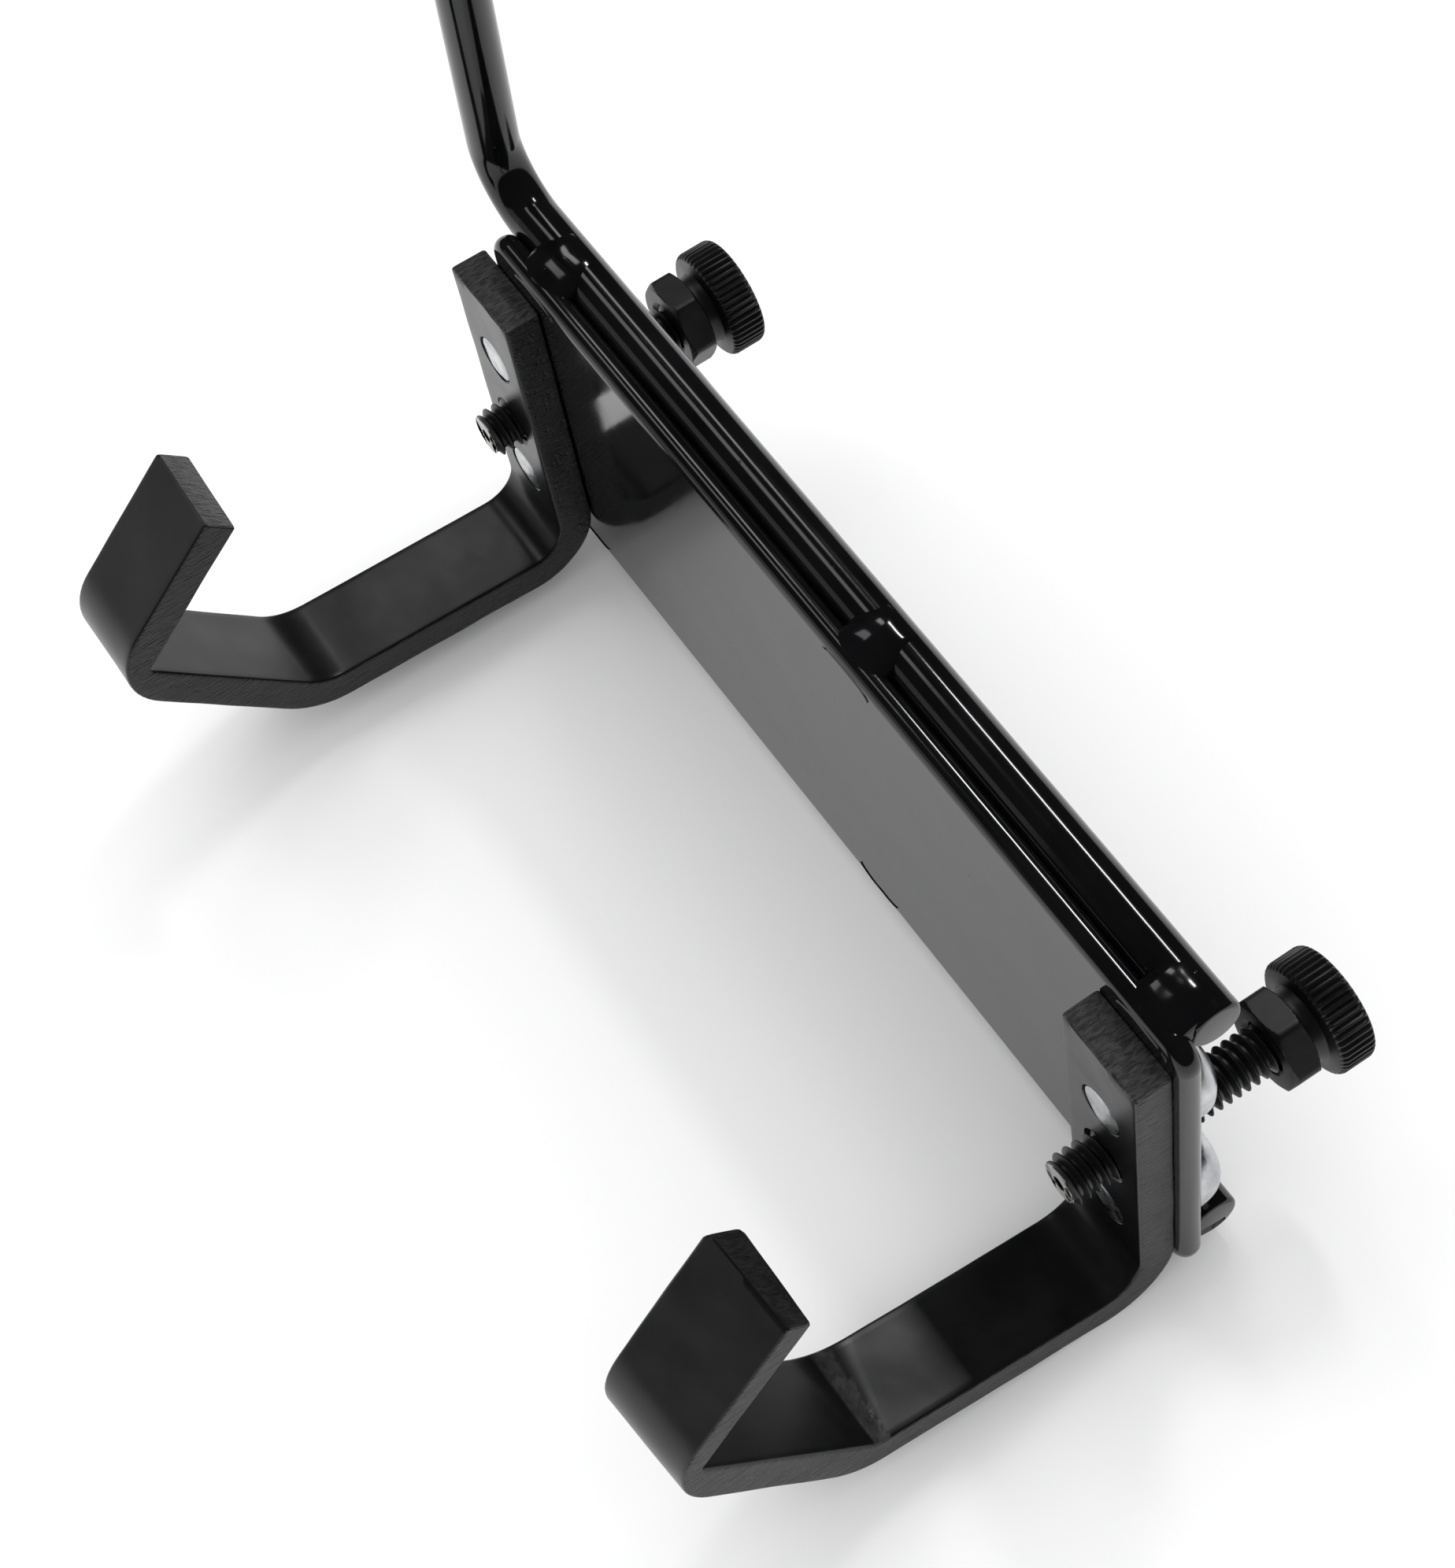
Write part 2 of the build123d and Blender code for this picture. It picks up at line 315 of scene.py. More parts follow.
def axis_of(node):
    """(x, z) of a turned CAD node's axis."""
    low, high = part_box(node)
    return (low.x + high.x) / 2, (low.z + high.z) / 2


def roughen(bm, size, depth, seed):
    """Moves each vertex along its normal by smooth noise, so that no surface is dead flat."""
    bm.normal_update()
    shift = Vector([seed * step for step in SEED_SHIFT])
    moves = [noise.noise(vertex.co / size + shift) * depth for vertex in bm.verts]
    for vertex, move in zip(bm.verts, moves):
        vertex.co += vertex.normal * move


# ---------------------------------------------------------------- materials

class Finish:
    """A Principled material with short calls for the procedural nodes that feed it."""

    def __init__(self, name, **constants):
        self.material = bpy.data.materials.new(name)
        self.material.use_nodes = True
        self.nodes = self.material.node_tree.nodes
        self.links = self.material.node_tree.links
        self.shader = self.nodes["Principled BSDF"]
        for socket, value in constants.items():
            self.shader.inputs[socket.replace("_", " ")].default_value = value
        self.place = self.nodes.new("ShaderNodeTexCoord").outputs["Object"]
        self.bump_normal = None

    def feed(self, node, socket, value):
        """Links a socket, or sets a number, on one input of a node."""
        if isinstance(value, bpy.types.NodeSocket):
            self.links.new(value, node.inputs[socket])
        else:
            node.inputs[socket].default_value = value

    def stretched(self, scale, turn=(0, 0, 0)):
        """Object coordinates turned and stretched, for streaks."""
        node = self.nodes.new("ShaderNodeMapping")
        self.feed(node, "Vector", self.place)
        self.feed(node, "Rotation", turn)
        self.feed(node, "Scale", scale)
        return node.outputs["Vector"]

    def noise(self, scale, detail=3.0, roughness=0.55, vector=None):
        node = self.nodes.new("ShaderNodeTexNoise")
        self.feed(node, "Vector", vector or self.place)
        self.feed(node, "Scale", scale)
        self.feed(node, "Detail", detail)
        self.feed(node, "Roughness", roughness)
        return node.outputs["Fac"]

    def specks(self, scale, size):
        """Small scattered dots: 1 inside a dot, 0 outside."""
        node = self.nodes.new("ShaderNodeTexVoronoi")
        self.feed(node, "Vector", self.place)
        self.feed(node, "Scale", scale)
        return self.remap(node.outputs["Distance"], size, size * DOT_CORE, 0.0, 1.0)

    def remap(self, value, low, high, to_low, to_high):
        """Stretches low..high to to_low..to_high, clamped."""
        node = self.nodes.new("ShaderNodeMapRange")
        self.feed(node, "Value", value)
        self.feed(node, "From Min", low)
        self.feed(node, "From Max", high)
        self.feed(node, "To Min", to_low)
        self.feed(node, "To Max", to_high)
        return node.outputs["Result"]

    def combine(self, kind, first, second):
        node = self.nodes.new("ShaderNodeMath")
        node.operation = kind
        node.use_clamp = kind != "MULTIPLY"
        self.feed(node, 0, first)
        self.feed(node, 1, second)
        return node.outputs["Value"]

    def blend(self, mask, first, second):
        """first where the mask is 0, second where it is 1."""
        node = self.nodes.new("ShaderNodeMix")
        self.feed(node, "Factor", mask)
        self.feed(node, "A", first)
        self.feed(node, "B", second)
        return node.outputs["Result"]

    def mask(self, attribute):
        """The value that the mesh itself carries at each point under this name."""
        node = self.nodes.new("ShaderNodeAttribute")
        node.attribute_name = attribute
        return node.outputs["Fac"]

    def colour(self, value, dark, light):
        """Base colour, mixed from two shades by a procedural value."""
        node = self.nodes.new("ShaderNodeValToRGB")
        self.feed(node, "Fac", value)
        ramp = node.color_ramp.elements
        ramp[0].position, ramp[0].color = MIX_START, (*dark, 1)
        ramp[1].position, ramp[1].color = MIX_END, (*light, 1)
        self.links.new(node.outputs["Color"], self.shader.inputs["Base Color"])

    def tint(self, mask, colour, metallic=False):
        """Another colour where the mask is 1, over the colour set before."""
        coat = self.shader.inputs["Base Color"].links[0].from_socket
        node = self.nodes.new("ShaderNodeMixRGB")
        self.feed(node, "Fac", mask)
        self.feed(node, "Color1", coat)
        self.feed(node, "Color2", (*colour, 1))
        self.links.new(node.outputs["Color"], self.shader.inputs["Base Color"])
        if metallic:
            self.links.new(mask, self.shader.inputs["Metallic"])

    def roughness(self, value):
        self.links.new(value, self.shader.inputs["Roughness"])

    def bump(self, height, distance, strength=1.0):
        """Adds a layer of relief, distance metres high."""
        node = self.nodes.new("ShaderNodeBump")
        self.feed(node, "Height", height)
        self.feed(node, "Strength", strength)
        self.feed(node, "Distance", distance)
        if self.bump_normal:
            self.links.new(self.bump_normal, node.inputs["Normal"])
        self.bump_normal = node.outputs["Normal"]
        self.links.new(self.bump_normal, self.shader.inputs["Normal"])


def gloss_coat():
    """Thick glossy black paint with faint orange peel, flow waves and a few dust nibs."""
    finish = Finish("gloss_black_coat", IOR=1.46)
    finish.colour(finish.noise(90), (0.0015, 0.0015, 0.0018), (0.004, 0.004, 0.0045))
    nibs = finish.specks(260, 0.055)
    haze = finish.remap(finish.noise(140, 1.5), 0.2, 0.8, 0.08, 0.13)
    finish.roughness(finish.combine("ADD", haze, finish.combine("MULTIPLY", nibs, 0.15)))
    flow_waves = finish.noise(55, 1.5)
    finish.bump(flow_waves, 0.00009)
    orange_peel = finish.noise(520, 2)
    finish.bump(orange_peel, 0.0000045)
    finish.bump(nibs, 0.00002)
    return finish.material


def satin_coat():
    """Satin black paint over flat bar: ground side faces, sheared ends tinted a streaky lighter
    grey, a rough fold lightened as a painted highlight.
    """
    finish = Finish("satin_black_coat", IOR=1.42)
    ground = finish.mask("ground")
    sheared = finish.mask("sheared")
    folded = finish.mask("folded")
    finish.colour(finish.noise(160, 4), (0.0025, 0.0025, 0.003), (0.007, 0.0068, 0.0075))
    streaks = finish.noise(1, 4, 0.65, finish.stretched((2600, 700, 700)))
    streaked_lightening = finish.remap(streaks, 0.4, 0.6, 0.35, 1.0)
    # The sheared ends' upward faces are tinted a streaky lighter grey
    finish.tint(finish.combine("MULTIPLY", sheared, streaked_lightening), (0.05, 0.048, 0.05))
    # Painted highlight: the fold is tinted lighter to stand in for the bright, sparkly band of
    # light over the bend; its rough paint is the wrinkle relief below
    painted_fold_highlight = finish.remap(finish.noise(700, 2), 0.3, 0.7, 0.3, 1.0)
    finish.tint(finish.combine("MULTIPLY", folded, painted_fold_highlight), (0.04, 0.039, 0.04))
    plain = finish.remap(finish.noise(220, 1.5), 0.2, 0.8, 0.27, 0.34)
    rubbed = finish.remap(finish.noise(300, 1.5), 0.2, 0.8, 0.36, 0.44)
    finish.roughness(finish.blend(sheared, finish.blend(ground, plain, rubbed), 0.34))
    scratches = finish.noise(1, 3, 0.6, finish.stretched((500, 350, 3000), (0.5, 0, 0)))
    finish.bump(scratches, 0.0003, ground)
    pits = finish.noise(650, 2)
    finish.bump(finish.remap(pits, 0.3, 0.42, 0.0, 1.0), 0.00006, ground)
    finish.bump(streaks, 0.0004, sheared)
    wrinkles = finish.noise(1100, 1.5)
    finish.bump(wrinkles, 0.0001, folded)
    flow_waves = finish.noise(120, 2)
    finish.bump(flow_waves, 0.00005)
    return finish.material


def zinc():
    """Bright zinc plating over a hammered steel rivet."""
    finish = Finish("zinc_plated_steel", Metallic=1.0)
    finish.colour(finish.noise(420, 5), (0.40, 0.41, 0.43), (0.66, 0.67, 0.68))
    finish.roughness(finish.remap(finish.noise(500, 4), 0.3, 0.7, 0.2, 0.42))
    grain = finish.noise(900, 4)
    finish.bump(grain, 0.00003)
    dents = finish.noise(330, 2)
    finish.bump(dents, 0.00008)
    return finish.material


def black_oxide():
    """Oiled black oxide on machined steel, worn bright at the studs' tips."""
    finish = Finish("black_oxide_steel", IOR=1.45)
    worn = finish.mask("worn")
    finish.colour(finish.noise(300, 4), (0.0035, 0.0035, 0.004), (0.008, 0.008, 0.0085))
    finish.tint(worn, (0.5, 0.49, 0.48), metallic=True)
    finish.roughness(finish.remap(finish.noise(400, 1.5), 0.2, 0.8, 0.34, 0.42))
    tool_marks = finish.noise(1, 3, 0.6, finish.stretched((600, 4200, 600)))
    finish.bump(tool_marks, 0.000006)
    return finish.material


# ---------------------------------------------------------------- hooks

def rounded_path(points, radii):
    """Stations along a polyline whose inner corners are arcs, the same number on any outline."""
    corners = []
    for before, corner, after, radius in zip(points, points[1:], points[2:], radii):
        back = unit(before - corner)
        ahead = unit(after - corner)
        half = back.angle(ahead) / 2
        reach = radius / math.tan(half)
        centre = corner + unit(back + ahead) * (radius / math.sin(half))
        corners.append((corner + back * reach, corner + ahead * reach, centre))
    stations = []
    start = points[0]
    for first, last, centre in corners:
        for step in range(STRAIGHT_STATIONS):
            stations.append(start.lerp(first, step / STRAIGHT_STATIONS))
        opening = (first - centre).angle_signed(last - centre)
        for step in range(ARC_STATIONS):
            turn = Matrix.Rotation(-opening * step / ARC_STATIONS, 2)
            stations.append(centre + turn @ (first - centre))
        start = last
    for step in range(STRAIGHT_STATIONS + 1):
        stations.append(start.lerp(points[-1], step / STRAIGHT_STATIONS))
    return stations


def outside_points(points, thickness):
    """Outside outline: each run of the inside outline moved out by its own thickness."""
    runs = []
    for first, second, depth in zip(points, points[1:], thickness):
        ahead = unit(second - first)
        out = Vector((-ahead.y, ahead.x))
        runs.append((first + out * depth * MM, ahead))
    moved = [runs[0][0]]
    for (place, ahead), (next_place, next_ahead) in zip(runs, runs[1:]):
        along = (next_place - place).cross(next_ahead) / ahead.cross(next_ahead)
        moved.append(place + ahead * along)
    end_place, end_ahead = runs[-1]
    moved.append(end_place + end_ahead * (points[-1] - points[-2]).length)
    return moved


def side_profile(outline):
    """Matched inside and outside stations of one side face, from the leg's top to the tip."""
    inside = [Vector((0, LEG_TOP))] + [Vector(point) * MM for point in outline["bends"]]
    outside = outside_points(inside, outline["thickness"])
    inner = rounded_path(inside, [radius * MM for radius in outline["inner_radii"]])
    outer = rounded_path(outside, [radius * MM for radius in outline["outer_radii"]])
    return inner, outer


def on_corner(corner, degrees):
    """Point of the arc round one corner of the bar's section."""
    angle = math.radians(degrees)
    return (corner[0] + BAR_EDGE_RADIUS * math.cos(angle),
            corner[1] + BAR_EDGE_RADIUS * math.sin(angle))


def bar_section(width):
    """Rounded rectangle round the bar's section as (across, through) points."""
    far = width / 2 - BAR_EDGE_RADIUS
    deep = BAR_THICKNESS - BAR_EDGE_RADIUS
    corners = [
        ((far, BAR_EDGE_RADIUS), -90, SECTION_ACROSS_STEPS),
        ((far, deep), 0, SECTION_THROUGH_STEPS),
        ((-far, deep), 90, SECTION_ACROSS_STEPS),
        ((-far, BAR_EDGE_RADIUS), 180, SECTION_THROUGH_STEPS),
    ]
    section = []
    for index, (corner, start, steps_before) in enumerate(corners):
        previous_corner, previous_start, _ = corners[index - 1]
        begin = on_corner(previous_corner, previous_start + 90)
        end = on_corner(corner, start)
        for step in range(1, steps_before):
            part = step / steps_before
            section.append((begin[0] + (end[0] - begin[0]) * part,
                            begin[1] + (end[1] - begin[1]) * part))
        for step in range(SECTION_ARC_STEPS + 1):
            section.append(on_corner(corner, start + 90 * step / SECTION_ARC_STEPS))
    return section


class HookBar:
    """One hook's bent bar: its section carried along the outlines of its two side faces."""

    def __init__(self, side):
        low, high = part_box(side + "_hook")
        self.centre_x = (low.x + high.x) / 2
        self.width = high.x - low.x
        self.corner = TIP_CORNER_RADIUS[side]
        self.far_inner, self.far_outer = side_profile(HOOK_OUTLINES[side]["far"])
        self.near_inner, self.near_outer = side_profile(HOOK_OUTLINES[side]["near"])
        self.section = bar_section(self.width)
        self.last_station = len(self.far_inner) - 1
        self.last_run = self.last_station - STRAIGHT_STATIONS

    def point(self, station, across, through, inset=0.0):
        """Point of the bar; inset pulls it towards the section's middle, for broken edges."""
        across *= 1 - inset / (self.width / 2)
        middle = BAR_THICKNESS / 2
        through = middle + (through - middle) * (1 - inset * 2 / BAR_THICKNESS)
        side_share = across / self.width + 0.5
        inner = self.far_inner[station].lerp(self.near_inner[station], side_share)
        outer = self.far_outer[station].lerp(self.near_outer[station], side_share)
        flat = inner.lerp(outer, through / BAR_THICKNESS) - self.corner_pull(station, across)
        return Vector((self.centre_x + across, flat.x, flat.y))

    def corner_pull(self, station, across):
        """How far a point of the last run is drawn back, to round the tip's far corner."""
        from_far = across + self.width / 2
        if station <= self.last_run or from_far >= self.corner:
            return Vector((0, 0))
        short = self.corner - from_far
        pull = self.corner - math.sqrt(max(self.corner ** 2 - short ** 2, 0))
        share = (station - self.last_run) / STRAIGHT_STATIONS
        return unit(self.far_inner[-1] - self.far_inner[self.last_run]) * pull * share

    def end_rings(self, station, drop_direction):
        """Rings of a sheared end, from its face inwards."""
        rings = []
        for inset, drop in END_ROUNDING:
            rings.append([self.point(station, across, through, inset) + drop_direction * drop
                          for across, through in self.section])
        return rings

    def rings(self):
        """All rings of the bar, from the leg's top to the free end."""
        tip_run = self.far_inner[-1] - self.far_inner[-2]
        tip_back = -unit(Vector((0, tip_run.x, tip_run.y)))
        rings = self.end_rings(0, Vector((0, 0, -1)))
        for station in range(1, self.last_station):
            rings.append([self.point(station, across, through)
                          for across, through in self.section])
        return rings + self.end_rings(self.last_station, tip_back)[::-1]


def hook_piece(side, material):
    """Hook: bent flat bar with sheared ends, two rivet seats and the screw's bore."""
    bar = HookBar(side)
    bm = bmesh.new()
    rows = add_grid(bm, bar.rings())
    ragged_shear(rows, side)
    roughen(bm, BAR_WAVE_SIZE, BAR_WAVE_DEPTH, SIDES.index(side) + 1)
    cut_holes(bm, side, bar.centre_x)
    piece = finish_piece(bm, side + "_hook_bar", material, "frame",
                         [side + "_hook"])
    mark_hook_faces(piece.data)


def ragged_shear(rows, side):
    """Tears the front edge of the leg's sheared top into small teeth."""
    for depth, row in zip(TOOTH_DEPTHS, rows):
        for vertex in row:
            front = max(0.0, 1 - abs(vertex.co.y) / TOOTH_REACH)
            tooth = noise.noise(Vector((vertex.co.x / TOOTH_WIDTH, len(side), 0)))
            vertex.co.z -= front * abs(tooth) * depth


def cut_holes(bm, side, centre_x):
    """Cuts the leg's rivet seats and screw bore out of the bar."""
    cutter = bmesh.new()
    rim = FLUSH_RADIUS + FLUSH_GAP
    seat = [(rim + beyond, depth) for beyond, depth in SEAT_MOUTH]
    seat += [(SHANK_RADIUS, SEAT_DEPTH), (SHANK_RADIUS, CUT_THROUGH)]
    for level in LEVELS:
        rivet_z = axis_of(f"{side}_{level}_rivet")[1]
        turned(cutter, centre_x, rivet_z, seat, HOLE_STEPS)
    bore = BORE_RADIUS + BORE_GAP
    hole = [(bore + beyond, depth) for beyond, depth in BORE_MOUTH] + [(bore, CUT_THROUGH)]
    turned(cutter, centre_x, 0, hole, HOLE_STEPS)
    bmesh.ops.recalc_face_normals(cutter, faces=cutter.faces)
    bmesh.ops.recalc_face_normals(bm, faces=bm.faces)
    subtract(bm, cutter)


def subtract(bm, cutter):
    """Replaces a bmesh by itself less the cutter, which is freed."""
    holders = []
    for name, content in (("bar", bm), ("cutter", cutter)):
        mesh = bpy.data.meshes.new(name)
        content.to_mesh(mesh)
        holder = bpy.data.objects.new(name, mesh)
        bpy.context.scene.collection.objects.link(holder)
        holders.append(holder)
    modifier = holders[0].modifiers.new("holes", "BOOLEAN")
    modifier.object = holders[1]
    modifier.operation = "DIFFERENCE"
    modifier.solver = "EXACT"
    cut = holders[0].evaluated_get(bpy.context.evaluated_depsgraph_get()).to_mesh()
    bm.clear()
    bm.from_mesh(cut)
    cutter.free()
    for holder in holders:
        mesh = holder.data
        bpy.data.objects.remove(holder)
        bpy.data.meshes.remove(mesh)


def mark_hook_faces(mesh):
    """Marks the ground side faces, the sheared ends and the right hook's fold for the paint."""
    ground = mesh.attributes.new("ground", "FLOAT", "POINT")
    sheared = mesh.attributes.new("sheared", "FLOAT", "POINT")
    folded = mesh.attributes.new("folded", "FLOAT", "POINT")
    for index, normal in enumerate(mesh.vertex_normals):
        place = mesh.vertices[index].co
        facing = normal.vector
        ground.data[index].value = 1.0 if abs(facing.x) > GROUND_FACING else 0.0
        near_top = place.z > LEG_TOP - SHEARED_TOP_DROP and place.y > -SHEARED_TOP_REACH
        on_top = facing.z > TOP_FACING and near_top
        on_tip = min(facing.y, facing.z) > SLOPED_FACING and place.z > TIP_FLOOR
        tip_share = on_tip * (RIGHT_TIP_LIGHTENING if place.x > 0 else 1.0)
        sheared.data[index].value = 1.0 if on_top else tip_share
        # The fold's mark carries a painted highlight in the paint's colour as well as the rough
        # paint's relief
        on_fold = facing.z > SLOPED_FACING and abs(place.y - FOLD_Y) < FOLD_REACH
        folded.data[index].value = 1.0 if on_fold and place.z < 0 < place.x else 0.0


# ---------------------------------------------------------------- plate, rods and welds

def keep_cad(node, material):
    """A CAD node whose shape is right keeps its mesh and gets its material."""
    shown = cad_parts[node]
    shown.data.materials.clear()
    shown.data.materials.append(material)


def bent_path(corner_points, bend_radius):
    """Closely spaced (x, z) places along a path of corners, each corner rounded by an arc."""
    corners = [Vector(point) for point in corner_points]
    places = [corners[0]]
    for before, corner, after in zip(corners, corners[1:], corners[2:]):
        back = unit(before - corner)
        ahead = unit(after - corner)
        half = back.angle(ahead) / 2
        centre = corner + unit(back + ahead) * (bend_radius / math.sin(half))
        first = corner + back * (bend_radius / math.tan(half))
        opening = math.pi - 2 * half
        turn = 1 if back.x * ahead.y - back.y * ahead.x > 0 else -1
        for step in range(ROD_BEND_STEPS + 1):
            angle = -turn * opening * step / ROD_BEND_STEPS
            places.append(centre + Matrix.Rotation(angle, 2) @ (first - centre))
    places.append(corners[-1])
    dense = []
    for first, second in zip(places, places[1:]):
        parts = max(1, int((second - first).length / ROD_STATION_GAP))
        dense += [first.lerp(second, part / parts) for part in range(parts)]
    dense.append(places[-1])
    return dense


def rod_ring(place, ahead, y, reach):
    """Circle of points round a place of the path, square to the way ahead."""
    side = Vector((-ahead.y, ahead.x))
    ring = []
    for step in range(ROD_STEPS):
        angle = 2 * math.pi * step / ROD_STEPS
        flat = place + side * reach * math.cos(angle)
        ring.append((flat.x, y + reach * math.sin(angle), flat.y))
    return ring


def rod_end(place, inward, ahead, y, radius):
    """Rings of a rod's end with a broken edge, from its face inwards."""
    rings = []
    for step in range(ROD_END_STEPS, -1, -1):
        angle = math.pi / 2 * step / ROD_END_STEPS
        rings.append(rod_ring(place + inward * ROD_END_ROUNDING * (1 - math.sin(angle)), ahead, y,
                              radius - ROD_END_ROUNDING * (1 - math.cos(angle))))
    return rings


def rod_piece(name, node, corner_points, bend_radius, radius, material):
    """Round rod in a plane of constant Y, along a path of (x, z) corners, with broken ends."""
    low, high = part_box(node)
    y = (low.y + high.y) / 2
    path = bent_path(corner_points, bend_radius)
    start_ahead = unit(path[1] - path[0])
    end_ahead = unit(path[-1] - path[-2])
    rings = rod_end(path[0], start_ahead, start_ahead, y, radius)
    for before, place, after in zip(path, path[1:], path[2:]):
        rings.append(rod_ring(place, unit(after - before), y, radius))
    rings += rod_end(path[-1], -end_ahead, end_ahead, y, radius)[-2::-1]
    bm = bmesh.new()
    add_grid(bm, rings)
    finish_piece(bm, name, material, "frame", [node])


def bezier(controls, share):
    """Point at a share of the way along a cubic curve with four (y, z) controls."""
    rest = 1 - share
    weights = (rest ** 3, 3 * rest ** 2 * share, 3 * rest * share ** 2, share ** 3)
    return (sum(weight * y for weight, (y, _) in zip(weights, controls)),
            sum(weight * z for weight, (_, z) in zip(weights, controls)))


def weld_section(level):
    """Controls of a weld's outer curve, its hidden inner points and its outward direction."""
    plate_low, plate_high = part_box("mounting_plate")
    rod_low, rod_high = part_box(level + "_rod")
    outward = 1 if level == "upper" else -1
    edge_z = plate_high.z if level == "upper" else plate_low.z
    radius = (rod_high.y - rod_low.y) / 2
    rod_y = (rod_low.y + rod_high.y) / 2
    # The upper rod's box also holds the arm, so only its underside gives the rod's height
    rod_z = rod_low.z + radius if level == "upper" else (rod_low.z + rod_high.z) / 2
    crown_z = rod_z + outward * radius

    def offset(y, z, shift):
        return (y + shift[0], z + outward * shift[1])

    controls = [offset(plate_low.y, edge_z, WELD_FRONT), offset(plate_low.y, edge_z, WELD_CREST),
                offset(rod_y, crown_z, WELD_CROWN), offset(rod_y, crown_z, WELD_BEHIND)]
    inner = [offset(rod_y, crown_z, WELD_IN_ROD), offset(plate_high.y, edge_z, WELD_IN_PLATE_BACK),
             offset(plate_low.y, edge_z, WELD_IN_PLATE_FRONT)]
    return controls, inner, outward


def weld_piece(level, position, material, seed):
    """Saddle of weld metal that fills the groove between a plate edge and a rod, under paint."""
    node = f"{level}_weld_{position}"
    low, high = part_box(node)
    middle = (low.x + high.x) / 2
    half = (high.x - low.x) / 2
    controls, inner, outward = weld_section(level)
    rings = []
    for along in range(WELD_ALONG_STEPS + 1):
        u = -1 + 2 * along / WELD_ALONG_STEPS
        swell = math.sqrt(max(0.0, 1 - abs(u) ** WELD_FULLNESS))
        ring = []
        for across in range(WELD_ACROSS_STEPS + 1):
            v = across / WELD_ACROSS_STEPS
            y, z = bezier(controls, v)
            dome = WELD_DOME * (1 - u * u) * math.sin(math.pi * v ** WELD_DOME_LEAN)
            spot = Vector((u * WELD_RIPPLES_ALONG + seed * WELD_SEED_SHIFT,
                           v * WELD_RIPPLES_ACROSS, seed))
            ripple = noise.noise(spot) * WELD_RIPPLE
            lift = -WELD_END_SINK + WELD_SWELL * swell + dome + ripple * swell
            reach = half * (1 + WELD_TOE_WAVE * math.sin(WELD_TOE_TURNS * v + seed))
            ring.append((middle + u * reach, y, z + outward * lift))
        for y, z in inner:
            ring.append((middle + u * half * WELD_HIDDEN_LENGTH, y, z))
        rings.append(ring)
    bm = bmesh.new()
    add_grid(bm, rings)
    finish_piece(bm, node + "_bead", material, "frame", [node],
                 sharp_degrees=50)


# ---------------------------------------------------------------- rivets

def rivet_piece(side, level, material, seed):
    """Rivet with a flush countersunk front end and a boxy domed head behind the plate."""
    node = f"{side}_{level}_rivet"
    low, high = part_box(node)
    centre_x, centre_z = axis_of(node)
    head_radius = (high.x - low.x) / 2
    plate_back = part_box("mounting_plate")[1].y
    dome_height = high.y - plate_back - HEAD_BAND
    rows = [(FLUSH_RADIUS * share, low.y + depth) for share, depth in FLUSH_END]
    rows += [(SHANK_RADIUS, low.y + COUNTERSINK_DEPTH), (SHANK_RADIUS, plate_back)]
    rows += [(head_radius - inset, plate_back + behind) for inset, behind in HEAD_UNDERSIDE]
    power = 2 / HEAD_SQUARENESS
    for step in range(HEAD_ARC_STEPS):
        angle = math.pi / 2 * step / HEAD_ARC_STEPS
        rows.append((head_radius * math.cos(angle) ** power,
                     plate_back + HEAD_BAND + dome_height * math.sin(angle) ** power))
    bm = bmesh.new()
    turned(bm, centre_x, centre_z, rows, RIVET_STEPS)
    roughen(bm, HAMMER_SIZE, HAMMER_DEPTH, seed)
    finish_piece(bm, node + "_forged", material, "frame", [node],
                 sharp_degrees=40)


# ---------------------------------------------------------------- clamp screws

def thread_radius(major, share):
    """Radius of a 60 degree thread at a share of one pitch, crest first."""
    if share <= CREST_END:
        return major - (0.0 if 0 < share < CREST_END else CREST_ROUNDING)
    if share < ROOT_START:
        return major - THREAD_DEPTH * (share - CREST_END) / (ROOT_START - CREST_END)
    if share <= ROOT_END:
        return major - THREAD_DEPTH
    return major - THREAD_DEPTH * (1 - share) / (1 - ROOT_END)


def helix_rows(bm, centre_x, centre_z, major, tip, rear):
    """Rows of points of a right-hand thread, a little longer than the stud at both ends."""
    begin = tip - THREAD_OVERRUN * PITCH
    turns = int((rear - tip) / PITCH) + math.ceil(2 * THREAD_OVERRUN) + 1
    rows = []
    for turn in range(turns):
        for share in THREAD_ROWS:
            row = []
            for step in range(THREAD_STEPS):
                angle = 2 * math.pi * step / THREAD_STEPS
                y = begin + PITCH * (turn + share - step / THREAD_STEPS)
                from_end = max(min(y - tip, rear - y), 0)
                reach = min(thread_radius(major, share), major - STUD_CHAMFER + from_end)
                row.append(bm.verts.new((centre_x + reach * math.cos(angle), y,
                                         centre_z + reach * math.sin(angle))))
            rows.append(row)
    return rows


def join_helix(bm, rows):
    """Skins the rows; each row's last point meets the first point of the row one turn back."""
    per_turn = len(THREAD_ROWS)
    for index in range(len(rows) - 1):
        here = rows[index]
        there = rows[index + 1]
        for step in range(THREAD_STEPS - 1):
            bm.faces.new((here[step], here[step + 1], there[step + 1], there[step]))
        if index >= per_turn:
            bm.faces.new((here[-1], rows[index - per_turn][0],
                          rows[index + 1 - per_turn][0], there[-1]))


